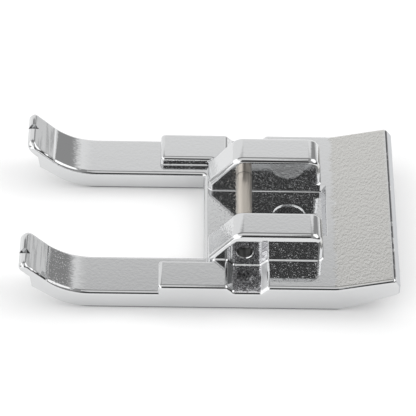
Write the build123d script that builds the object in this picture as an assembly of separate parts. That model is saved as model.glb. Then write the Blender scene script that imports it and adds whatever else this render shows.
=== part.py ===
from build123d import *
import os
from math import cos, radians, sin, tan

# Open-toe clip-on presser foot for a sewing machine, in millimetres.
# +X runs from the toe tips to the heel, +Z is up and the sole lies on Z = 0.
# The casting is symmetric about the XZ plane.

# Overall sizes
TOE_REACH = 17.7           # toe tip to the rear edge of the needle opening
BODY_REACH = 18.9          # rear edge of the needle opening to the heel end
WIDTH = 21.4
OPENING_WIDTH = 11.5
OPENING_CORNER = 0.2
TOE_THICKNESS = 2.1
PLATE_HEIGHT = 3.0         # top of the pads and the plate above the sole
EDGE_ROUND = 0.37          # top edges
SOLE_BREAK = 0.15          # bottom edges, broken at 45 degrees

# Upturned toe
CURL_LENGTH = 6.85         # toe tip to the start of the curl
CURL_RADIUS = 6.3
TIP_ANGLE = 45.0           # slope of the tip's top face
UNDER_ANGLE = 38.0         # slope of the toe's underside ahead of the curl
LIP_LENGTH = 1.25          # thin lip ahead of the step under the tip
LIP_THICKNESS = 0.95
LIP_STEP_LEAN = 0.15       # forward lean of the step under the lip
TIP_INNER_ROUND = 1.0      # tip corner beside the needle opening
TIP_OUTER_ROUND = 0.5
TIP_GROOVE_WIDTH = 0.7
TIP_GROOVE_DEPTH = 0.4
TIP_GROOVE_OFFSET = 0.45   # outward from the middle of the toe
TIP_GROOVE_ROUND = 0.3     # shoulders of the groove
TIP_GROOVE_FLARE = 12.0    # slope of the shoulders beside the crest

# Side pads and the bay between them
PAD_REACH = 4.55           # pad front ahead of the opening's rear edge
PAD_LEDGE = 1.33           # ledge between the opening and the pad's inner wall
PAD_DRAFT = 0.15           # lean of the pad front over its height
PAD_EDGE_ROUND = 0.35
BAY_CORNER = 0.25          # rear corners of the bay

# Ears
EAR_GAP = 7.0
EAR_THICKNESS = 3.42
EAR_HEIGHT = 6.3           # top of the ears above the sole
EAR_SETBACK = 0.4          # ear front behind the opening's rear edge
EAR_LENGTH = 11.1
EAR_SLOPE = 50.0
EAR_FRONT_ROUND = 1.5
EAR_REAR_ROUND = 1.3
EAR_FOOT_ROUND = 0.6
EAR_EDGE_ROUND = 0.5
COVE_ROUND = 0.14          # fillet at the ears' inner feet
SKIRT_RUN = 0.14           # sloped corner at the ears' outer feet
SKIRT_RISE = 0.1

# Cross pin
PIN_DIAMETER = 1.5
PIN_SETBACK = 3.95         # pin axis behind the opening's rear edge
PIN_HEIGHT = 4.0           # pin axis above the sole
PIN_RECESS = 1.2           # pin end below the ear's outer face
PIN_CHAMFER = 0.12
HOLE_CLEARANCE = 0.02      # on the radius
HOLE_MOUTH = 0.08          # chamfer at the mouth of the ear holes

# Side notches
NOTCH_SETBACK = 4.2        # notch centre behind the opening's rear edge
NOTCH_FLOOR = 2.6
NOTCH_HEIGHT = 2.28        # notch floor above the sole
NOTCH_ANGLE = 45.0

# Channel between the ears
CHANNEL_REACH = 11.65      # opening's rear edge to the end of the channel floor
CHANNEL_END_ANGLE = 66.0
CHANNEL_LIP_ROUND = 0.15
MARK_SETBACK = 8.4         # ejector mark behind the opening's rear edge
MARK_DIAMETER = 3.4
MARK_DEPTH = 0.12

# Heel
RAMP_SETBACK = 12.8        # start of the heel ramp behind the opening's rear edge
RAMP_ANGLE = 12.8
RAMP_ROUND = 2.0
LIFT_SETBACK = 13.25       # start of the lifted underside behind the opening's rear edge
LIFT_ANGLE = 22.5
LIFT_ROUND = 3.0
HEEL_BEVEL = 0.6           # run of the bevel at the heel end
HEEL_BEVEL_ANGLE = 55.0

# Stitch tunnel in the sole
TUNNEL_WIDTH = 7.6
TUNNEL_DEPTH = 0.45
TUNNEL_ROUND = 0.3

# Stations that follow from the sizes above
X_TIP = -(TOE_REACH + BODY_REACH) / 2
X_OPEN = X_TIP + TOE_REACH
X_END = X_OPEN + BODY_REACH
X_CURL = X_TIP + CURL_LENGTH
X_EAR = X_OPEN + EAR_SETBACK
X_EAR_REAR = X_EAR + EAR_LENGTH
X_PIN = X_OPEN + PIN_SETBACK
EAR_INNER = EAR_GAP / 2
EAR_OUTER = EAR_INNER + EAR_THICKNESS
PAD_INNER = OPENING_WIDTH / 2 + PAD_LEDGE
PIN_LENGTH = 2 * (EAR_OUTER - PIN_RECESS)
SIDE = WIDTH / 2
CORNER_ROUND = 1.15 * EDGE_ROUND  # wider than the edge rounding that runs round these corners
REACH = WIDTH + EAR_HEIGHT  # longer than any cut has to be
NEAR = 1e-4  # tolerance when edges are picked by their place
WALL_SHARE = 0.45  # most of a wall's thickness that one fillet may take


def run_of(rise, angle):
    """Horizontal run of a face that rises by this much at this angle."""
    return rise / tan(radians(angle))


def side_view(points, rounds):
    """Face in the XZ plane from its corners and the radius at each corner."""
    return Plane.XZ * make_face(FilletPolyline(*points, radius=rounds, close=True))


def lies_on(shape, y):
    """Whether the whole edge or face is on the plane at y."""
    box = shape.bounding_box()
    return max(abs(box.min.Y - y), abs(box.max.Y - y)) < NEAR


def edges_at(solid, y, z):
    """Edges that lie on the plane at y and at the height z."""
    found = []
    for edge in solid.edges():
        box = edge.bounding_box()
        level = max(abs(box.min.Z - z), abs(box.max.Z - z)) < NEAR
        if level and lies_on(edge, y):
            found.append(edge)
    return found


def toe_round():
    """Radius along the toe's edges, within half the lip's thickness."""
    return min(EDGE_ROUND, WALL_SHARE * LIP_THICKNESS)


def nose_cut():
    """How far the rounding cuts back the lip's corners along X and Z."""
    tip = radians(TIP_ANGLE)
    return toe_round() * (sin(tip) + cos(tip) - 1)


def curl_corner(angle):
    """Station where the flat of a toe would meet the slope at this angle."""
    return X_CURL - CURL_RADIUS * tan(radians(angle) / 2)


def nose_corners():
    """Lower and upper corner of the lip's end, before they are rounded."""
    tip = radians(TIP_ANGLE)
    lower_x = X_TIP - nose_cut()
    upper_x = lower_x + LIP_THICKNESS * sin(tip)
    upper_z = TOE_THICKNESS + (curl_corner(TIP_ANGLE) - upper_x) * tan(tip)
    lower_z = upper_z - LIP_THICKNESS * cos(tip)
    return (lower_x, lower_z), (upper_x, upper_z)


def toe_profile():
    """Side view of a toe: flat sole, curl, and a thin lip ahead of a step."""
    lower, upper = nose_corners()
    step_x = X_TIP + LIP_LENGTH
    step_z = (curl_corner(UNDER_ANGLE) - step_x) * tan(radians(UNDER_ANGLE))
    root_x = step_x - LIP_STEP_LEAN
    root_z = lower[1] - (root_x - lower[0]) * tan(radians(TIP_ANGLE))
    rear = X_EAR + EAR_LENGTH / 2
    points = [
        (rear, 0),
        (curl_corner(UNDER_ANGLE), 0),
        (step_x, step_z),
        (root_x, root_z),
        lower,
        upper,
        (curl_corner(TIP_ANGLE), TOE_THICKNESS),
        (rear, TOE_THICKNESS),
    ]
    return side_view(points, [0, CURL_RADIUS, 0, 0, 0, 0, CURL_RADIUS, 0])


def tip_corner(block, y):
    """Short edge across the lip's thickness on the plane at y."""
    brow_x = nose_corners()[1][0]
    return [edge for edge in block.edges() if lies_on(edge, y) and edge.bounding_box().max.X < brow_x + NEAR]


def nose_edges(block):
    """Lower edges across the ends of both lips."""
    nose_x, nose_z = nose_corners()[0]
    found = []
    for edge in block.edges():
        middle = edge.center()
        if max(abs(middle.X - nose_x), abs(middle.Z - nose_z)) < NEAR:
            found.append(edge)
    return found


def toes():
    """Both toes and the bridge behind the needle opening, with rounded tips and top edges."""
    block = extrude(toe_profile(), amount=SIDE, both=True)
    half_length = TOE_REACH + OPENING_CORNER
    opening = Rectangle(2 * half_length, OPENING_WIDTH)
    opening = fillet(opening.vertices(), OPENING_CORNER)
    block -= Pos(X_OPEN - half_length, 0, 0) * extrude(opening, amount=REACH, both=True)
    for side in (1, -1):
        block = fillet(tip_corner(block, side * OPENING_WIDTH / 2), TIP_INNER_ROUND)
        block = fillet(tip_corner(block, side * SIDE), TIP_OUTER_ROUND)
    block = fillet(edges_at(block, SIDE, TOE_THICKNESS), toe_round())
    return fillet(nose_edges(block), toe_round())


def plate_profile():
    """Side view of the raised plate: pad front, notch, heel ramp, end bevel and lifted underside."""
    pad_foot = X_OPEN - PAD_REACH
    notch_x = X_OPEN + NOTCH_SETBACK
    notch_half = NOTCH_FLOOR / 2
    notch_run = run_of(PLATE_HEIGHT - NOTCH_HEIGHT, NOTCH_ANGLE)
    ramp_x = X_OPEN + RAMP_SETBACK
    crest_x = X_END - HEEL_BEVEL
    crest_z = PLATE_HEIGHT + (crest_x - ramp_x) * tan(radians(RAMP_ANGLE))
    end_top = crest_z - HEEL_BEVEL * tan(radians(HEEL_BEVEL_ANGLE))
    lift_x = X_OPEN + LIFT_SETBACK
    end_bottom = (X_END - lift_x) * tan(radians(LIFT_ANGLE))
    corners = [
        (pad_foot, 0, 0),
        (pad_foot + PAD_DRAFT, PLATE_HEIGHT, CORNER_ROUND),
        (notch_x - notch_half - notch_run, PLATE_HEIGHT, CORNER_ROUND),
        (notch_x - notch_half, NOTCH_HEIGHT, CORNER_ROUND),
        (notch_x + notch_half, NOTCH_HEIGHT, CORNER_ROUND),
        (notch_x + notch_half + notch_run, PLATE_HEIGHT, CORNER_ROUND),
        (ramp_x, PLATE_HEIGHT, RAMP_ROUND),
        (crest_x, crest_z, CORNER_ROUND),
        (X_END, end_top, CORNER_ROUND),
        (X_END, end_bottom, 0),
        (lift_x, 0, LIFT_ROUND),
    ]
    return side_view([(x, z) for x, z, _ in corners], [radius for _, _, radius in corners])


def bay():
    """Open space between the pads, ahead of the ears and a little round their front edges."""
    back = X_EAR + EAR_EDGE_ROUND
    space = Rectangle(back - X_TIP, 2 * PAD_INNER, align=(Align.MIN, Align.CENTER))
    space = fillet(space.vertices().group_by(Axis.X)[-1], BAY_CORNER)
    return Pos(X_TIP, 0, 0) * extrude(space, amount=REACH)


def channel():
    """Space between the ears above the toe level, up to its sloped rear end."""
    floor_end = X_OPEN + CHANNEL_REACH
    slope = run_of(REACH, CHANNEL_END_ANGLE)
    points = [
        (X_TIP, TOE_THICKNESS),
        (floor_end, TOE_THICKNESS),
        (floor_end + slope, TOE_THICKNESS + REACH),
        (X_TIP, TOE_THICKNESS + REACH),
    ]
    return extrude(side_view(points, 0), amount=EAR_INNER, both=True)


def channel_lip(block):
    """Edge along the top of the channel's sloped end."""
    across = [edge for edge in block.edges().filter_by(Axis.Y) if abs(edge.length - EAR_GAP) < NEAR]
    return max(across, key=lambda edge: edge.center().Z)


def plate():
    """Pads, plate and heel as one block with rounded edges, less the bay and the channel."""
    block = extrude(plate_profile(), amount=SIDE, both=True)
    for y in (-SIDE, SIDE):
        block = fillet(edges_at(block, y, PLATE_HEIGHT)[0], EDGE_ROUND)
    block -= bay()
    block -= channel()
    block = fillet(channel_lip(block), CHANNEL_LIP_ROUND)
    for y in (-PAD_INNER, PAD_INNER):
        block = fillet(edges_at(block, y, PLATE_HEIGHT), PAD_EDGE_ROUND)
    return block


def ear(side):
    """One ear with its sloped front, rounded rear and rounded edges; side is 1 or -1."""
    crown_x = X_EAR + run_of(EAR_HEIGHT - PLATE_HEIGHT, EAR_SLOPE)
    points = [
        (X_EAR, 0),
        (X_EAR, PLATE_HEIGHT),
        (crown_x, EAR_HEIGHT),
        (X_EAR_REAR, EAR_HEIGHT),
        (X_EAR_REAR, 0),
    ]
    face = side_view(points, [0, EAR_FOOT_ROUND, EAR_FRONT_ROUND, EAR_REAR_ROUND, 0])
    block = extrude(face, amount=EAR_THICKNESS / 2, both=True)
    for y in (-EAR_THICKNESS / 2, EAR_THICKNESS / 2):
        block = fillet(edges_at(block, y, EAR_HEIGHT), EAR_EDGE_ROUND)
    return Pos(0, side * (EAR_INNER + EAR_THICKNESS / 2), 0) * block


def coved(block):
    """The casting with a sloped corner at the ears' outer feet and a fillet at their inner feet."""
    for y in (-EAR_OUTER, EAR_OUTER):
        wall = max((face for face in block.faces() if lies_on(face, y)), key=lambda face: face.area)
        block = chamfer(edges_at(block, y, PLATE_HEIGHT), SKIRT_RISE, SKIRT_RUN, reference=wall)
    inner = edges_at(block, EAR_INNER, TOE_THICKNESS) + edges_at(block, -EAR_INNER, TOE_THICKNESS)
    return fillet(inner, COVE_ROUND)


def soled(block):
    """The casting with its bottom edges broken, round the heel and round the needle opening."""
    for y in (SIDE, OPENING_WIDTH / 2):
        block = chamfer(edges_at(block, y, 0), SOLE_BREAK)
    return block


def pin_holes():
    """Bore through both ears with a small chamfer at each outer mouth."""
    radius = PIN_DIAMETER / 2 + HOLE_CLEARANCE
    bore = Cylinder(radius, 2 * EAR_OUTER)
    for side in (1, -1):
        mouth = Cone(radius, radius + HOLE_MOUTH, HOLE_MOUTH)
        turn = Rot(90 * (1 - side), 0, 0)
        bore += turn * Pos(0, 0, EAR_OUTER - HOLE_MOUTH / 2) * mouth
    return Pos(X_PIN, 0, PIN_HEIGHT) * Rot(90, 0, 0) * bore


def ejector_mark():
    """Shallow round recess that an ejector pin left in the channel floor."""
    disc = Cylinder(MARK_DIAMETER / 2, 2 * MARK_DEPTH)
    return Pos(X_OPEN + MARK_SETBACK, 0, TOE_THICKNESS) * disc


def stitch_tunnel():
    """Groove along the sole, from the needle opening to the heel, that lets raised stitches pass."""
    groove = Rectangle(TUNNEL_WIDTH, 2 * TUNNEL_DEPTH)
    groove = fillet(groove.vertices(), TUNNEL_ROUND)
    groove = Plane.YZ * groove
    return Pos(X_OPEN - OPENING_CORNER, 0, 0) * extrude(groove, amount=BODY_REACH + OPENING_CORNER)


def tip_groove(side):
    """Small V with rounded shoulders across the crest of one toe's nose; side is 1 or -1."""
    crest = nose_corners()[1][1] - nose_cut()
    half = TIP_GROOVE_WIDTH / 2
    reach = 2 * TIP_GROOVE_WIDTH
    brim = TIP_GROOVE_DEPTH + (reach - half) * tan(radians(TIP_GROOVE_FLARE))
    points = [
        (-reach, brim),
        (-half, TIP_GROOVE_DEPTH),
        (0, 0),
        (half, TIP_GROOVE_DEPTH),
        (reach, brim),
    ]
    rounds = [0, TIP_GROOVE_ROUND, 0, TIP_GROOVE_ROUND, 0]
    vee = Plane.YZ * make_face(FilletPolyline(*points, radius=rounds, close=True))
    prism = extrude(vee, amount=LIP_LENGTH + LIP_THICKNESS, both=True)
    middle = (SIDE + OPENING_WIDTH / 2) / 2 + TIP_GROOVE_OFFSET
    return Pos(X_TIP, side * middle, crest - TIP_GROOVE_DEPTH) * prism


def foot_body():
    """The whole casting."""
    block = toes() + plate() + ear(1) + ear(-1)
    block = soled(coved(block))
    block -= pin_holes()
    block -= ejector_mark()
    block -= stitch_tunnel()
    for side in (1, -1):
        block -= tip_groove(side)
    return block


def cross_pin():
    """Plain pin with chamfered ends, recessed in the ear holes."""
    pin = Cylinder(PIN_DIAMETER / 2, PIN_LENGTH)
    pin = chamfer(pin.edges().filter_by(GeomType.CIRCLE), PIN_CHAMFER)
    return Pos(X_PIN, 0, PIN_HEIGHT) * Rot(90, 0, 0) * pin


body = foot_body()
pin = cross_pin()
os.makedirs("parts", exist_ok=True)
export_step(body, "parts/foot_body.step")
export_step(pin, "parts/cross_pin.step")
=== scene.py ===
from functools import cached_property
from math import cos, radians, sin

import bpy
from mathutils import Matrix, Vector


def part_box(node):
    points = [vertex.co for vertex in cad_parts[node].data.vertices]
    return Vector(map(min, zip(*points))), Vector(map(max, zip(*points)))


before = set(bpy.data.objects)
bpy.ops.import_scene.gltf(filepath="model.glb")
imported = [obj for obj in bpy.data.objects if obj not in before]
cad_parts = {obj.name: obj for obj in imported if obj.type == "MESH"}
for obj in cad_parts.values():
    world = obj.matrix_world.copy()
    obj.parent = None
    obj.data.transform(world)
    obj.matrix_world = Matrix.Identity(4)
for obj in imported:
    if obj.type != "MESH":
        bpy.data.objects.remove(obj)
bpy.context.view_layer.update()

MM = 0.001
WHITE = (1.0, 1.0, 1.0, 1.0)

# Camera, fitted to the photograph's edges
PHOTO_WIDTH = 416
FOCAL_PIXELS = 2670.0
SENSOR_WIDTH = 36.0
CLIP_START = 0.01
CAMERA_PLACE = Vector((-2.4147, -186.3100, 189.4101)) * MM
CAMERA_AZIMUTH = radians(0.676)
CAMERA_ELEVATION = radians(45.0)
CAMERA_ROLL = radians(1.274)

# Studio: angles in degrees, brightness with white as 1.
# A pitch of 0 is level and away from the camera, 90 is overhead and 180 is level behind the camera.
BACKDROP_LEVEL = 1.0
FAR_WALL_LEVEL = 1.0
PITCH_STEPS = [
    # pitch where a change of brightness starts, where it ends, and the brightness from there on
    (41.2, 52.4, 0.32),
    (76.0, 88.0, 0.95),
    (112.0, 134.0, 0.075),
    (140.0, 150.0, 0.045),
    (166.0, 174.0, 1.00),
]
PANELS = [
    # bearing from, to, softness, height from, to, softness, brightness
    (-162.0, -58.0, 12.0, 12.0, 47.0, 8.0, 1.60),
    (-165.0, -116.0, 6.0, -20.0, 12.0, 8.0, 1.60),
    (-112.0, -94.0, 6.0, -4.0, 10.0, 3.0, 0.42),
    (28.5, 168.0, 12.0, 9.2, 80.0, 3.0, 0.36),
    (30.0, 85.0, 8.0, -30.0, 9.2, 2.5, 0.80),
    (30.0, 75.0, 4.0, 4.0, 6.0, 1.2, 0.58),
    (58.0, 165.0, 10.0, 9.2, 24.0, 4.0, 0.50),
    (80.0, 165.0, 6.0, 7.0, 18.0, 2.5, 0.05),
    (46.0, 128.0, 6.0, 21.0, 61.0, 5.0, 1.60),
]

# Floor
FLOOR_SIZE = 0.4
FLOOR_DROP = 0.02 * MM
FLOOR_COLOUR = (0.80, 0.80, 0.80, 1.0)
FLOOR_GLOW = 0.15

# Soft lamp above the far side, which draws the shadow on the floor
LAMP_PLACE = Vector((0.10, 0.36, 0.60))
LAMP_SIZE = (2.6, 0.5)
LAMP_POWER = 5.0

# Shading: roundings run smoothly into their flats, and flats keep their creases
SHARP_ANGLE = radians(32.0)
CREASE_ANGLE = radians(1.0)
FACE_RANK = "__mod_weightednormals_faceweight"
STRONG_FACE = 16384
WEAK_FACE = -16384
MOSTLY_STRONG = 0.9 * STRONG_FACE
WIDE_FACET = 0.3 * MM**2
WELD_DISTANCE = 0.001 * MM
NORMAL_WEIGHT = 50

# Casting: places in millimetres, in the part's own frame
EAR_FRONT, EAR_REAR = -0.2, 10.9
EAR_FOOT, EAR_TOP = 3.0, 6.3
EAR_INNER, EAR_OUTER = 3.5, 6.92
EAR_MIDDLE = (EAR_INNER + EAR_OUTER) / 2
PAD_INNER = 7.08
CHANNEL_FLOOR, CHANNEL_END = 2.1, 11.1
NOTCH_FRONT, NOTCH_REAR = 1.94, 5.26
RAMP_START, RAMP_END = 12.15, 17.5
CREST_REAR = 17.86
MARK_MIDDLE = (7.8, 0.0, 0.0)
MARK_RADIUS = 1.7
GROOVE_STATION, GROOVE_MIDDLE = -17.75, 8.675
TOE_WEAR_AND_REFLECTION_FRONT = -15.62

# Facing of a surface: the part of its unit normal where a zone is still absent, and where it is full
FACING = (0.75, 0.95)
FORWARD_FACING = (-0.75, -0.95)
REARWARD_FACING = (0.5, 0.7)
SLANT_FACING = (0.35, 0.55)
BROW_FACING = (0.25, 0.0)
SLOPE_FORWARD_FACING = (-0.55, -0.7)
SLOPE_UP_FACING = (0.4, 0.55)
NOTCH_WALL_FACING = (-0.55, -0.68)
RIDGE_FACING = (0.4, 0.6)
TOE_WEAR_AND_REFLECTION_FACING = (0.5, 0.7)

# Edges of the zones, in millimetres: where a zone is still absent, and where it is full
EAR_SIDE = (EAR_OUTER + 0.1, EAR_OUTER + 0.02)
EAR_HEIGHT = (CHANNEL_FLOOR, CHANNEL_FLOOR + 0.1)
EAR_OUTER_HALF = (EAR_MIDDLE, EAR_MIDDLE + 0.1)
EAR_GRAIN_HEIGHT = (4.2, 3.4)
CHANNEL_SIDE = (EAR_INNER + 0.12, EAR_INNER)
CHANNEL_HEIGHT = (CHANNEL_FLOOR + 0.3, CHANNEL_FLOOR + 0.2)
CHANNEL_END_SIDE = (EAR_INNER + 0.15, EAR_INNER + 0.05)
CHANNEL_WALL_FRONT = (EAR_REAR, EAR_REAR + 0.05)
CHANNEL_WALL_HEIGHT = (EAR_FOOT + 0.1, EAR_FOOT)
NOTCH_SIDE = (EAR_OUTER - 0.06, EAR_OUTER)
NOTCH_HEIGHT = (EAR_FOOT - 0.3, EAR_FOOT - 0.4)
NOTCH_WALL_SIDE = (EAR_OUTER, EAR_OUTER + 0.1)
APRON_HEIGHT = (EAR_FOOT + 0.1, EAR_FOOT + 0.05)
SOLE_EDGE_HEIGHT = (0.30, 0.18)
PAD_WALL_REAR = (EAR_FRONT, EAR_FRONT - 0.2)
HEEL_FRONT = (RAMP_START - 0.3, RAMP_START + 0.3)
HEEL_REAR = (RAMP_END + 0.2, RAMP_END - 0.2)
BEVEL_FRONT = (CREST_REAR, CREST_REAR + 0.05)
CREST_SIDE = (10.4, 10.2)
MARK_EDGE = (MARK_RADIUS, MARK_RADIUS - 0.05)
BORE_EDGE_BEYOND_PIN = (0.06, 0.03)
BROW_DEPTH = (0.85, 0.5)
POCKET_HEIGHT = (5.80, 5.70)
GROOVE_SIDE = (0.42, 0.32)
GROOVE_REAR = (GROOVE_STATION + 1.1, GROOVE_STATION + 0.8)
GROOVE_SPOT = (0.08, 0.20)
TOE_WEAR_AND_REFLECTION_SIDE = (-4.0, -5.0)
TOE_WEAR_AND_REFLECTION_EDGE = (TOE_WEAR_AND_REFLECTION_FRONT - 0.1, TOE_WEAR_AND_REFLECTION_FRONT + 0.1)
TOE_WEAR_AND_REFLECTION_FADE = (-12.8, -14.2)
CURL_REACH = (-8.5, -10.5)
WAVE_FADE = (-14.2, -15.0)

# Bands, in millimetres: from, to and the softness of both ends
EAR_STRETCH = (EAR_FRONT, EAR_REAR, 0.1)
CHANNEL_STRETCH = (EAR_FRONT, CHANNEL_END, 0.6)
CHANNEL_END_STRETCH = (CHANNEL_END - 0.1, CHANNEL_END + 0.5, 0.1)
CHANNEL_WALL_BAND = (EAR_INNER - 0.15, EAR_INNER + 0.15, 0.1)
NOTCH_STRETCH = (NOTCH_FRONT, NOTCH_REAR, 0.6)
NOTCH_WALL_STRETCH = (NOTCH_REAR - 0.42, NOTCH_REAR + 0.42, 0.1)
APRON_STRETCH = (NOTCH_REAR, EAR_REAR, 0.6)
APRON_BAND = (EAR_OUTER, EAR_OUTER + 2.6, 1.0)
PAD_WALL_BAND = (PAD_INNER - 0.15, PAD_INNER + 0.15, 0.1)
PAD_STRIPE_BAND = (2.08, 2.21, 0.03)
SLOPE_STRETCH = (EAR_FRONT - 0.2, EAR_FRONT + 3.0, 0.2)
CREST_STRETCH = (17.62, CREST_REAR, 0.1)
POCKET_REAR_STRETCH = (5.0, 5.56, 0.12)
POCKET_FRONT_STRETCH = (1.75, 1.95, 0.12)
RIDGE_STRETCH = (-15.74, -15.58, 0.08)

# Chrome plate: colours and roughness
CHROME_COLOUR = (0.67, 0.675, 0.68, 1.0)
HEEL_COLOUR = (0.665, 0.66, 0.64, 1.0)
# darker inside the ear holes, in part painted shade
BORE_PARTLY_PAINTED_SHADE_COLOUR = (0.46, 0.46, 0.46, 1.0)
NOTCH_DARK = (0.32, 0.315, 0.33, 1.0)
NOTCH_LIGHT = (0.86, 0.86, 0.88, 1.0)
# painted reflection: darker on the near toe's curl, deepening the dark reflection there
TOE_PAINTED_REFLECTION_COLOUR = (0.50, 0.50, 0.505, 1.0)
# painted shade: the heel's rear bevel darker and bluer than the plate
BEVEL_PAINTED_SHADE_COLOUR = (0.50, 0.51, 0.53, 1.0)
# painted shade: darker on the slope at the channel's rear end
CHANNEL_END_PAINTED_SHADE_COLOUR = (0.58, 0.58, 0.59, 1.0)
# painted reflection: a dark, broken line along the heel's crest
CREST_PAINTED_REFLECTION_COLOUR = (0.26, 0.26, 0.27, 1.0)
# painted shade: near black along the foot of the outer walls, for the contact shadow they mirror
SOLE_PAINTED_SHADE_COLOUR = (0.10, 0.10, 0.11, 1.0)
POLISH_ROUGHNESS = 0.05
GRAIN_ROUGHNESS = 0.06
NOTCH_ROUGHNESS = 0.16
NOTCH_WALL_ROUGHNESS = 0.34
HEEL_ROUGHNESS = 0.24
BORE_ROUGHNESS = 0.35

# Chrome plate: textures, with scales in features to the millimetre and spreads in values of the noise
FINE_DETAIL = 3.0
PLAIN_DETAIL = 2.0
SOFT_DETAIL = 1.0
GRAIN_SCALE = 6.5
GRAIN_HEIGHT = 0.020 * MM
SPECK_SPREAD = (0.60, 0.78)
SPARKLE_SCALE = 7.0
SPARKLE_SPREAD = (0.65, 0.71)
CRUST_SCALE = 4.0
PEEL_SCALE = 3.5
MOTTLE_SCALE = 5.5
MOTTLE_SPREAD = (0.38, 0.66)
HEEL_SCALE = (5.0, 3.0, 3.0)
HEEL_EDGE_SCALE = 1.2
HEEL_EDGE_REACH = 1.0
CREST_SCALE = 1.6
CREST_SPREAD = (0.32, 0.44)
STREAK_SCALE = (0.35, 8.0, 8.0)
WAVE_SCALE = (2.2, 0.14, 2.2)

# Chrome plate: strength of the textures by zone
INSIDE_GRAIN = 0.5
OUTSIDE_GRAIN = 0.18
CHANNEL_GRAIN = 0.45
NOTCH_GRAIN = 1.8
TOE_WEAR_AND_REFLECTION_STRENGTH = 0.6
HEEL_RIPPLE = 1.15
NOTCH_CRUST = 0.8
SLOPE_CRUST = 0.7
MARK_CRUST = 1.0
PEEL = 0.15

# Chrome plate: leans of the shading normal
SPARKLE_TILT = 1.05
STREAK_TILT = (0.10, 0.26)
WAVE_TILT = 0.30
RIDGE_TILT = 0.34
POCKET_TILT = 0.55
NOTCH_WALL_TILT = 0.10
PAD_STRIPE_TILT = 1.5
GROOVE_TILT = -0.45
CHANNEL_WALL_TILT = 0.48
MARK_TILT = 0.10
BROW_TILT = 0.30

# Pin steel
STEEL_DARK = (0.56, 0.52, 0.465, 1.0)
STEEL_LIGHT = (0.66, 0.615, 0.555, 1.0)
# painted shade: the pin darker where it sits in the ear holes
STEEL_PAINTED_SHADE = (0.42, 0.42, 0.42, 1.0)
STEEL_END_REACH = (3.4, 3.6)
STEEL_SCALE = (7.0, 0.25, 7.0)
STEEL_ROUGHNESS = (0.26, 0.40)


class Graph:
    """Adds nodes to one node tree, with short calls."""

    def __init__(self, tree):
        self.tree = tree
        tree.nodes.clear()

    def feed(self, socket, value):
        """Links an output to a socket, or sets the socket's own value."""
        if isinstance(value, bpy.types.NodeSocket):
            self.tree.links.new(value, socket)
        else:
            socket.default_value = value

    def add(self, kind, inputs=None, **settings):
        node = self.tree.nodes.new(kind)
        for name, value in settings.items():
            setattr(node, name, value)
        for key, value in (inputs or {}).items():
            self.feed(node.inputs[key], value)
        return node

    def math(self, operation, first, second=0.0):
        node = self.add("ShaderNodeMath", {0: first, 1: second}, operation=operation)
        return node.outputs[0]

    def degrees(self, value):
        return self.math("DEGREES", value)

    def times(self, *values):
        product = values[0]
        for value in values[1:]:
            product = self.math("MULTIPLY", product, value)
        return product

    def total(self, *values):
        result = values[0]
        for value in values[1:]:
            result = self.math("ADD", result, value)
        return result

    def highest(self, *values):
        result = values[0]
        for value in values[1:]:
            result = self.math("MAXIMUM", result, value)
        return result

    def rise(self, value, low, high):
        """0 up to low and 1 from high on; a low above high makes it fall."""
        inputs = {"Value": value, "From Min": low, "From Max": high}
        node = self.add("ShaderNodeMapRange", inputs, interpolation_type="SMOOTHSTEP")
        return node.outputs["Result"]

    def band(self, value, low, high, soft):
        """1 between low and high, with edges that fade over the angle or length soft."""
        rising = self.rise(value, low - soft / 2, low + soft / 2)
        falling = self.rise(value, high + soft / 2, high - soft / 2)
        return self.math("MULTIPLY", rising, falling)

    def mix(self, share, first, second):
        """Mix of two numbers."""
        node = self.add("ShaderNodeMix", data_type="FLOAT")
        self.feed(node.inputs[0], share)
        self.feed(node.inputs[2], first)
        self.feed(node.inputs[3], second)
        return node.outputs[0]

    def blend(self, share, first, second):
        """Mix of two colours."""
        node = self.add("ShaderNodeMix", data_type="RGBA")
        self.feed(node.inputs[0], share)
        self.feed(node.inputs[6], first)
        self.feed(node.inputs[7], second)
        return node.outputs[2]

    def vector(self, operation, first, second=(0.0, 0.0, 0.0)):
        return self.add("ShaderNodeVectorMath", {0: first, 1: second}, operation=operation).outputs[0]

    def length(self, vector):
        return self.add("ShaderNodeVectorMath", {0: vector}, operation="LENGTH").outputs["Value"]

    def split(self, vector):
        return self.add("ShaderNodeSeparateXYZ", {0: vector}).outputs

    def join(self, x, y, z):
        return self.add("ShaderNodeCombineXYZ", {0: x, 1: y, 2: z}).outputs[0]

    def noise_node(self, place, scale, detail):
        scales = scale if isinstance(scale, tuple) else (scale, scale, scale)
        inputs = {"Vector": self.vector("MULTIPLY", place, scales), "Scale": 1.0, "Detail": detail}
        return self.add("ShaderNodeTexNoise", inputs)

    def noise(self, place, scale, detail=PLAIN_DETAIL):
        """Noise from 0 to 1, with about scale features to the millimetre, along each axis or alike on all."""
        return self.noise_node(place, scale, detail).outputs[0]

    def swing(self, place, scale, detail=PLAIN_DETAIL):
        """Noise about 0, from -0.5 to 0.5."""
        return self.math("SUBTRACT", self.noise(place, scale, detail), 0.5)

    def place(self):
        """Place on the casting in millimetres."""
        return self.vector("MULTIPLY", self.add("ShaderNodeTexCoord").outputs["Object"], (1 / MM,) * 3)


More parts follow.
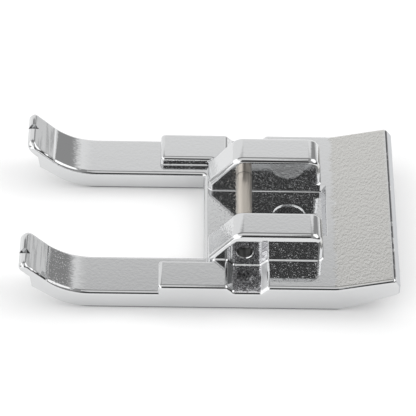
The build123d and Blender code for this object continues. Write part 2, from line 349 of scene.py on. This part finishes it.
def make_camera():
    facing = Vector((
        sin(CAMERA_AZIMUTH) * cos(CAMERA_ELEVATION),
        cos(CAMERA_AZIMUTH) * cos(CAMERA_ELEVATION),
        -sin(CAMERA_ELEVATION),
    ))
    level = Vector((cos(CAMERA_AZIMUTH), -sin(CAMERA_AZIMUTH), 0.0))
    upright = level.cross(facing)
    right = cos(CAMERA_ROLL) * level + sin(CAMERA_ROLL) * upright
    up = cos(CAMERA_ROLL) * upright - sin(CAMERA_ROLL) * level
    data = bpy.data.cameras.new("camera")
    data.sensor_width = SENSOR_WIDTH
    data.lens = FOCAL_PIXELS / PHOTO_WIDTH * SENSOR_WIDTH
    data.clip_start = CLIP_START
    camera = bpy.data.objects.new("camera", data)
    turn = Matrix((right, up, -facing)).transposed()
    camera.matrix_world = Matrix.Translation(CAMERA_PLACE) @ turn.to_4x4()
    bpy.context.scene.collection.objects.link(camera)
    bpy.context.scene.camera = camera


def studio_level(graph):
    """Brightness of the studio seen in each direction."""
    direction = graph.add("ShaderNodeTexCoord").outputs["Generated"]
    across, away, up = graph.split(direction)
    bearing = graph.degrees(graph.math("ARCTAN2", across, away))
    height = graph.degrees(graph.math("ARCSINE", up))
    pitch = graph.degrees(graph.math("ARCTAN2", up, away))
    level = FAR_WALL_LEVEL
    for begin, finish, step_level in PITCH_STEPS:
        level = graph.mix(graph.rise(pitch, begin, finish), level, step_level)
    for left, right, side_soft, low, high, end_soft, panel_level in PANELS:
        across_panel = graph.band(bearing, left, right, side_soft)
        up_panel = graph.band(height, low, high, end_soft)
        level = graph.mix(graph.times(across_panel, up_panel), level, panel_level)
    return level


def make_studio():
    """World with the studio's panels, in front of a plain white backdrop."""
    world = bpy.data.worlds.new("studio")
    world.use_nodes = True
    bpy.context.scene.world = world
    graph = Graph(world.node_tree)
    seen = graph.add("ShaderNodeLightPath").outputs["Is Camera Ray"]
    strength = graph.mix(seen, studio_level(graph), BACKDROP_LEVEL)
    light = graph.add("ShaderNodeBackground", {"Color": WHITE, "Strength": strength})
    graph.add("ShaderNodeOutputWorld", {"Surface": light.outputs[0]})


def fresh_material(name):
    material = bpy.data.materials.new(name)
    material.use_nodes = True
    return material, Graph(material.node_tree)


def white_table():
    """Matt white with a faint glow, which lifts the floor but not what it lights."""
    material, graph = fresh_material("white_table")
    path = graph.add("ShaderNodeLightPath").outputs
    seen = graph.highest(path["Is Camera Ray"], path["Is Glossy Ray"], path["Is Transmission Ray"])
    glow = graph.add("ShaderNodeEmission", {"Strength": graph.times(seen, FLOOR_GLOW)})
    matt = graph.add("ShaderNodeBsdfDiffuse", {"Color": FLOOR_COLOUR})
    both = graph.add("ShaderNodeAddShader", {0: matt.outputs[0], 1: glow.outputs[0]})
    graph.add("ShaderNodeOutputMaterial", {"Surface": both.outputs[0]})
    return material


def make_floor():
    half = FLOOR_SIZE / 2
    corners = [(-half, -half), (half, -half), (half, half), (-half, half)]
    mesh = bpy.data.meshes.new("floor")
    mesh.from_pydata([(x, y, -FLOOR_DROP) for x, y in corners], [], [(0, 1, 2, 3)])
    mesh.materials.append(white_table())
    floor = bpy.data.objects.new("floor", mesh)
    bpy.context.scene.collection.objects.link(floor)


def make_lamp():
    data = bpy.data.lights.new("softbox", "AREA")
    data.shape = "RECTANGLE"
    data.size, data.size_y = LAMP_SIZE
    data.energy = LAMP_POWER
    lamp = bpy.data.objects.new("softbox", data)
    lamp.location = LAMP_PLACE
    lamp.rotation_euler = LAMP_PLACE.to_track_quat("Z", "Y").to_euler()
    lamp.visible_glossy = False
    bpy.context.scene.collection.objects.link(lamp)


def named_value(graph, name, kind):
    return graph.add("GeometryNodeInputNamedAttribute", {"Name": name}, data_type=kind).outputs[0]


def rank_faces(graph, shape):
    """Stores how strongly each face holds its own normal: flats most, narrow facets of roundings least."""
    flat = named_value(graph, "sharp_face", "BOOLEAN")
    area = graph.add("GeometryNodeInputMeshFaceArea").outputs[0]
    wide = graph.math("GREATER_THAN", area, WIDE_FACET)
    rank = graph.mix(flat, graph.mix(wide, WEAK_FACE, 0), STRONG_FACE)
    inputs = {"Geometry": shape, "Name": FACE_RANK, "Value": rank}
    return graph.add("GeometryNodeStoreNamedAttribute", inputs, data_type="INT", domain="FACE").outputs[0]


def join_facets(graph, shape):
    """Welds neighbouring faces and shades them smooth."""
    bare = {"Geometry": shape, "Name": "custom_normal"}
    shape = graph.add("GeometryNodeRemoveAttribute", bare).outputs[0]
    weld = {"Geometry": shape, "Distance": WELD_DISTANCE}
    shape = graph.add("GeometryNodeMergeByDistance", weld).outputs[0]
    for domain in ("FACE", "EDGE"):
        shape = graph.add("GeometryNodeSetShadeSmooth", {"Geometry": shape}, domain=domain).outputs[0]
    return shape


def crease_flats(graph, shape):
    """Keeps an edge sharp between two flats, or where it is steep."""
    angle = graph.add("GeometryNodeInputMeshEdgeAngle").outputs[0]
    rank = named_value(graph, FACE_RANK, "FLOAT")
    between_flats = graph.math("GREATER_THAN", rank, MOSTLY_STRONG)
    creased = graph.times(between_flats, graph.math("GREATER_THAN", angle, CREASE_ANGLE))
    sharp = graph.highest(creased, graph.math("GREATER_THAN", angle, SHARP_ANGLE))
    inputs = {"Geometry": shape, "Selection": sharp, "Shade Smooth": False}
    return graph.add("GeometryNodeSetShadeSmooth", inputs, domain="EDGE").outputs[0]


def weld_tree():
    """Joins the facets of neighbouring faces, so that a rounding runs into its flat without a crease."""
    tree = bpy.data.node_groups.new("welded_faces", "GeometryNodeTree")
    tree.interface.new_socket("Geometry", in_out="INPUT", socket_type="NodeSocketGeometry")
    tree.interface.new_socket("Geometry", in_out="OUTPUT", socket_type="NodeSocketGeometry")
    graph = Graph(tree)
    shape = graph.add("NodeGroupInput").outputs[0]
    shape = rank_faces(graph, shape)
    shape = join_facets(graph, shape)
    shape = crease_flats(graph, shape)
    graph.add("NodeGroupOutput", {0: shape})
    return tree


def smooth_roundings(node, tree):
    weld = node.modifiers.new("welded_faces", "NODES")
    weld.node_group = tree
    blend = node.modifiers.new("blended_normals", "WEIGHTED_NORMAL")
    blend.mode = "CORNER_ANGLE"
    blend.weight = NORMAL_WEIGHT
    blend.keep_sharp = True
    blend.use_face_influence = True


def pin_axis():
    """Station and height of the pin's axis and its radius, in millimetres."""
    low, high = [Vector(corner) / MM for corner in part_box("cross_pin")]
    middle = (low + high) / 2
    return middle.x, middle.z, (high.z - low.z) / 2


class Casting:
    """Shares, from 0 to 1, of the zones of the casting's surface, and leans of its shading normal."""

    def __init__(self, graph):
        self.graph = graph
        self.place = graph.place()
        self.x, self.y, self.z = graph.split(self.place)
        normal = graph.add("ShaderNodeNewGeometry").outputs["Normal"]
        self.along, side, self.up = graph.split(normal)
        aside = graph.math("ABSOLUTE", side)
        self.across = graph.math("ABSOLUTE", self.y)
        self.sideways = graph.rise(aside, *FACING)
        self.slanted = graph.rise(aside, *SLANT_FACING)
        self.upward = graph.rise(self.up, *FACING)
        self.forward = graph.rise(self.along, *FORWARD_FACING)
        self.rearward = graph.rise(self.along, *REARWARD_FACING)

    def distance(self, middle, axes):
        """Distance from a point, counted along the axes that are 1."""
        offset = self.graph.vector("SUBTRACT", self.place, middle)
        return self.graph.length(self.graph.vector("MULTIPLY", offset, axes))

    @cached_property
    def ear(self):
        """Inner and outer faces of the ears."""
        graph = self.graph
        return graph.times(
            self.sideways,
            graph.band(self.x, *EAR_STRETCH),
            graph.rise(self.across, *EAR_SIDE),
            graph.rise(self.z, *EAR_HEIGHT),
        )

    @cached_property
    def ear_outside(self):
        return self.graph.times(self.ear, self.graph.rise(self.across, *EAR_OUTER_HALF))

    @cached_property
    def ear_inside(self):
        return self.graph.math("SUBTRACT", self.ear, self.ear_outside)

    @cached_property
    def ear_slope(self):
        """Sloped fronts of the ears."""
        graph = self.graph
        return graph.times(
            graph.rise(self.along, *SLOPE_FORWARD_FACING),
            graph.rise(self.up, *SLOPE_UP_FACING),
            graph.band(self.x, *SLOPE_STRETCH),
        )

    @cached_property
    def channel(self):
        """Floor of the channel between the ears."""
        graph = self.graph
        return graph.times(
            self.upward,
            graph.rise(self.across, *CHANNEL_SIDE),
            graph.rise(self.z, *CHANNEL_HEIGHT),
            graph.band(self.x, *CHANNEL_STRETCH),
        )

    @cached_property
    def channel_end(self):
        """Slope at the rear end of the channel, which gets a darker colour as painted shade."""
        graph = self.graph
        return graph.times(
            self.forward,
            graph.band(self.x, *CHANNEL_END_STRETCH),
            graph.rise(self.across, *CHANNEL_END_SIDE),
        )

    @cached_property
    def mark(self):
        """Floor of the ejector mark."""
        from_middle = self.distance(MARK_MIDDLE, (1.0, 1.0, 0.0))
        return self.graph.times(self.channel, self.graph.rise(from_middle, *MARK_EDGE))

    @cached_property
    def notch(self):
        """Floors of the side notches."""
        graph = self.graph
        return graph.times(
            self.upward,
            graph.rise(self.across, *NOTCH_SIDE),
            graph.band(self.x, *NOTCH_STRETCH),
            graph.rise(self.z, *NOTCH_HEIGHT),
        )

    @cached_property
    def notch_wall(self):
        """Rear walls of the side notches."""
        graph = self.graph
        return graph.times(
            graph.rise(self.along, *NOTCH_WALL_FACING),
            graph.band(self.x, *NOTCH_WALL_STRETCH),
            graph.rise(self.across, *NOTCH_WALL_SIDE),
        )

    @cached_property
    def apron(self):
        """Plate beside the ears, where the grain thins out."""
        graph = self.graph
        return graph.times(
            self.upward,
            graph.band(self.across, *APRON_BAND),
            graph.band(self.x, *APRON_STRETCH),
            graph.rise(self.z, *APRON_HEIGHT),
        )

    @cached_property
    def pad_wall(self):
        """Walls of the side pads that face each other, ahead of the ears."""
        graph = self.graph
        return graph.times(
            self.sideways,
            graph.band(self.across, *PAD_WALL_BAND),
            graph.rise(self.x, *PAD_WALL_REAR),
        )

    @cached_property
    def worn_toe_and_painted_reflection(self):
        """Top of the near toe's curl: specks of wear, and a darker colour that is a painted reflection,
        deepening the dark one it mirrors.
        """
        graph = self.graph
        return graph.times(
            graph.rise(self.y, *TOE_WEAR_AND_REFLECTION_SIDE),
            graph.rise(self.x, *TOE_WEAR_AND_REFLECTION_EDGE),
            graph.rise(self.x, *TOE_WEAR_AND_REFLECTION_FADE),
            graph.rise(self.up, *TOE_WEAR_AND_REFLECTION_FACING),
            TOE_WEAR_AND_REFLECTION_STRENGTH,
        )

    @cached_property
    def grain(self):
        """Ears, channel, notches and pads' inner walls, where the plate shows the cast grain."""
        graph = self.graph
        inside = graph.times(self.ear_inside, graph.rise(self.z, *EAR_GRAIN_HEIGHT), INSIDE_GRAIN)
        outside = graph.times(self.ear_outside, OUTSIDE_GRAIN)
        notch = graph.times(self.notch, NOTCH_GRAIN)
        channel = graph.times(self.channel, CHANNEL_GRAIN)
        return graph.highest(graph.total(inside, outside), notch, self.apron, channel, self.pad_wall)

    @cached_property
    def speckled(self):
        """All that has specks: the cast grain and the worn toe."""
        return self.graph.highest(self.grain, self.worn_toe_and_painted_reflection)

    @cached_property
    def heel(self):
        """Mottled ramp of the heel, with a ragged front edge."""
        graph = self.graph
        ragged = graph.times(graph.swing(self.place, HEEL_EDGE_SCALE), HEEL_EDGE_REACH)
        front = graph.rise(graph.total(self.x, ragged), *HEEL_FRONT)
        return graph.times(self.upward, front, graph.rise(self.x, *HEEL_REAR))

    # Heel's rear bevel, which gets a painted shade colour
    @cached_property
    def heel_bevel(self):
        return self.graph.times(self.rearward, self.graph.rise(self.x, *BEVEL_FRONT))

    @cached_property
    def heel_crest(self):
        """Dark line painted along the heel's crest as a reflection, broken here and there."""
        graph = self.graph
        crest_pieces = graph.rise(graph.noise(self.place, CREST_SCALE), *CREST_SPREAD)
        return graph.times(graph.band(self.x, *CREST_STRETCH), graph.rise(self.across, *CREST_SIDE), crest_pieces)

    @cached_property
    def sole_edge_shade(self):
        """Foot of the outer walls, near black: painted shade for the contact shadow that they mirror."""
        return self.graph.times(self.sideways, self.graph.rise(self.z, *SOLE_EDGE_HEIGHT))

    @cached_property
    def bore(self):
        """Inside of the ear holes: rougher, and darker in colour, which is painted shade in part."""
        x, z, radius = pin_axis()
        from_axis = self.distance((x, 0.0, z), (1.0, 0.0, 1.0))
        outer, inner = [radius + beyond for beyond in BORE_EDGE_BEYOND_PIN]
        return self.graph.rise(from_axis, outer, inner)

    def pocket_lean(self):
        """Leans along X of the notch's end walls where they run on up the ears."""
        graph = self.graph
        rear = graph.times(self.ear_outside, graph.band(self.x, *POCKET_REAR_STRETCH), -POCKET_TILT)
        front = graph.times(self.ear_outside, graph.band(self.x, *POCKET_FRONT_STRETCH), POCKET_TILT)
        return graph.times(graph.total(rear, front), graph.rise(self.z, *POCKET_HEIGHT))

    def ridge_lean(self):
        """Lean along X of a fine ridge across the toes, where their tips begin."""
        graph = self.graph
        ridge = graph.times(graph.band(self.x, *RIDGE_STRETCH), graph.rise(self.up, *RIDGE_FACING))
        return graph.times(ridge, RIDGE_TILT)

    def notch_wall_lean(self):
        """Outward lean along Y of the notches' rear walls."""
        outward = self.graph.math("SIGN", self.y)
        return self.graph.times(self.notch_wall, outward, NOTCH_WALL_TILT)

    def brow_lean(self):
        """Upward lean of the ears' outer faces towards their top edges."""
        graph = self.graph
        below_top = graph.math("SUBTRACT", EAR_TOP, self.z)
        brow = graph.times(self.ear_outside, graph.rise(below_top, *BROW_DEPTH))
        return graph.times(brow, graph.rise(self.up, *BROW_FACING), BROW_TILT)

    def pad_stripe_lean(self):
        """Upward lean of a narrow stripe at the foot of the pads' inner walls."""
        return self.graph.times(self.pad_wall, self.graph.band(self.z, *PAD_STRIPE_BAND), PAD_STRIPE_TILT)

    def channel_wall_lean(self):
        """Upward lean of the channel's side walls behind the ears."""
        graph = self.graph
        return graph.times(
            self.sideways,
            graph.band(self.across, *CHANNEL_WALL_BAND),
            graph.rise(self.x, *CHANNEL_WALL_FRONT),
            graph.rise(self.z, *CHANNEL_WALL_HEIGHT),
            CHANNEL_WALL_TILT,
        )

    def groove_lean(self):
        """Upward lean of the tip grooves' walls, all but a spot at their middle."""
        graph = self.graph
        along = graph.math("SUBTRACT", self.x, GROOVE_STATION)
        aside = graph.math("SUBTRACT", self.across, GROOVE_MIDDLE)
        from_spot = graph.math("SQRT", graph.total(graph.times(along, along), graph.times(aside, aside)))
        return graph.times(
            self.slanted,
            graph.rise(graph.math("ABSOLUTE", aside), *GROOVE_SIDE),
            graph.rise(self.x, *GROOVE_REAR),
            graph.rise(from_spot, *GROOVE_SPOT),
            GROOVE_TILT,
        )


def sparkle(graph, casting):
    """Leans of the few tiny facets of the cast grain that catch the light."""
    facets = graph.noise_node(casting.place, SPARKLE_SCALE, SOFT_DETAIL)
    facet_lean = graph.vector("SUBTRACT", facets.outputs["Color"], (0.5, 0.5, 0.5))
    sparse = graph.rise(facets.outputs[0], *SPARKLE_SPREAD)
    amount = graph.times(casting.speckled, sparse, SPARKLE_TILT)
    return graph.vector("MULTIPLY", facet_lean, graph.join(amount, amount, amount))


def streaks(graph, casting):
    """Leans along X of the brush marks on the polished tops, strongest on the curls."""
    streak = graph.swing(casting.place, STREAK_SCALE, FINE_DETAIL)
    textured = graph.math("MINIMUM", graph.highest(casting.grain, casting.heel), 1.0)
    polished = graph.math("SUBTRACT", 1.0, textured)
    brushed = graph.mix(graph.rise(casting.x, *CURL_REACH), *STREAK_TILT)
    return graph.times(streak, polished, casting.upward, brushed)


def tip_waves(graph, casting):
    """Leans along X of the stripes across the toes' tips."""
    wave = graph.swing(casting.place, WAVE_SCALE, SOFT_DETAIL)
    return graph.times(wave, graph.rise(casting.x, *WAVE_FADE), WAVE_TILT)


def chrome_bump(graph, casting):
    """Normal with bumps: cast grain, the heel's ripple, a crust in the recesses and a faint peel."""
    specks = graph.rise(graph.noise(casting.place, GRAIN_SCALE, FINE_DETAIL), *SPECK_SPREAD)
    ripple = graph.swing(casting.place, HEEL_SCALE, FINE_DETAIL)
    crust = graph.swing(casting.place, CRUST_SCALE, FINE_DETAIL)
    peel = graph.noise(casting.place, PEEL_SCALE)
    height = graph.total(
        graph.times(specks, casting.speckled),
        graph.times(ripple, casting.heel, HEEL_RIPPLE),
        graph.times(crust, casting.notch, NOTCH_CRUST),
        graph.times(crust, casting.ear_slope, SLOPE_CRUST),
        graph.times(crust, casting.mark, MARK_CRUST),
        graph.times(peel, PEEL),
    )
    return graph.add("ShaderNodeBump", {"Height": height, "Distance": GRAIN_HEIGHT}).outputs[0]


def chrome_normal(graph, casting):
    """Bumped normal with the leans of streaks, small forms and sparkles."""
    along = graph.total(
        streaks(graph, casting),
        tip_waves(graph, casting),
        casting.pocket_lean(),
        casting.ridge_lean(),
    )
    across = graph.total(casting.notch_wall_lean(), graph.times(casting.mark, MARK_TILT))
    upward = graph.total(
        casting.brow_lean(),
        casting.pad_stripe_lean(),
        casting.channel_wall_lean(),
        casting.groove_lean(),
    )
    lean = graph.vector("ADD", graph.join(along, across, upward), sparkle(graph, casting))
    return graph.vector("NORMALIZE", graph.vector("ADD", chrome_bump(graph, casting), lean))


def chrome_colour(graph, casting):
    mottle = graph.rise(graph.noise(casting.place, MOTTLE_SCALE), *MOTTLE_SPREAD)
    zones = [
        (casting.heel, HEEL_COLOUR),
        (casting.notch, graph.blend(mottle, NOTCH_DARK, NOTCH_LIGHT)),
        # inside the ear holes: darker, in part painted shade
        (casting.bore, BORE_PARTLY_PAINTED_SHADE_COLOUR),
        # painted reflection on the near toe's curl, beside its wear specks
        (casting.worn_toe_and_painted_reflection, TOE_PAINTED_REFLECTION_COLOUR),
        # painted shade on the heel's rear bevel
        (casting.heel_bevel, BEVEL_PAINTED_SHADE_COLOUR),
        # painted reflection along the heel's crest
        (casting.heel_crest, CREST_PAINTED_REFLECTION_COLOUR),
        # painted shade at the channel's rear end
        (casting.channel_end, CHANNEL_END_PAINTED_SHADE_COLOUR),
        # painted shade at the foot of the outer walls
        (casting.sole_edge_shade, SOLE_PAINTED_SHADE_COLOUR),
    ]
    colour = CHROME_COLOUR
    for share, zone_colour in zones:
        colour = graph.blend(share, colour, zone_colour)
    return colour


def chrome_roughness(graph, casting):
    zones = [
        (casting.grain, GRAIN_ROUGHNESS),
        (casting.heel, HEEL_ROUGHNESS),
        (casting.bore, BORE_ROUGHNESS),
        (casting.notch, NOTCH_ROUGHNESS),
        (casting.notch_wall, NOTCH_WALL_ROUGHNESS),
    ]
    roughness = POLISH_ROUGHNESS
    for share, zone_roughness in zones:
        roughness = graph.mix(share, roughness, zone_roughness)
    return roughness


def chrome():
    """Bright plate: polished tops with faint streaks, cast grain in the recesses, a mottled heel."""
    material, graph = fresh_material("bright_chrome_plate")
    casting = Casting(graph)
    inputs = {
        "Base Color": chrome_colour(graph, casting),
        "Metallic": 1.0,
        "Roughness": chrome_roughness(graph, casting),
        "Normal": chrome_normal(graph, casting),
    }
    shader = graph.add("ShaderNodeBsdfPrincipled", inputs)
    graph.add("ShaderNodeOutputMaterial", {"Surface": shader.outputs[0]})
    return material


def steel():
    """Drawn steel with fine lines along the pin, and darker ends: painted shade where they sit in the ear
    holes.
    """
    material, graph = fresh_material("drawn_steel")
    place = graph.place()
    lines = graph.noise(place, STEEL_SCALE, FINE_DETAIL)
    from_middle = graph.math("ABSOLUTE", graph.split(place)[1])
    colour = graph.blend(lines, STEEL_DARK, STEEL_LIGHT)
    # painted shade on the pin inside the ear holes
    colour = graph.blend(graph.rise(from_middle, *STEEL_END_REACH), colour, STEEL_PAINTED_SHADE)
    roughness = graph.mix(lines, *STEEL_ROUGHNESS)
    inputs = {"Base Color": colour, "Metallic": 1.0, "Roughness": roughness}
    shader = graph.add("ShaderNodeBsdfPrincipled", inputs)
    graph.add("ShaderNodeOutputMaterial", {"Surface": shader.outputs[0]})
    return material


def dress(name, material, tree):
    """Gives a piece its smooth roundings and its material."""
    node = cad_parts[name]
    smooth_roundings(node, tree)
    node.data.materials.clear()
    node.data.materials.append(material)


def main():
    bpy.context.scene.view_settings.view_transform = "Standard"
    make_camera()
    make_studio()
    make_floor()
    make_lamp()
    tree = weld_tree()
    dress("foot_body", chrome(), tree)
    dress("cross_pin", steel(), tree)


main()
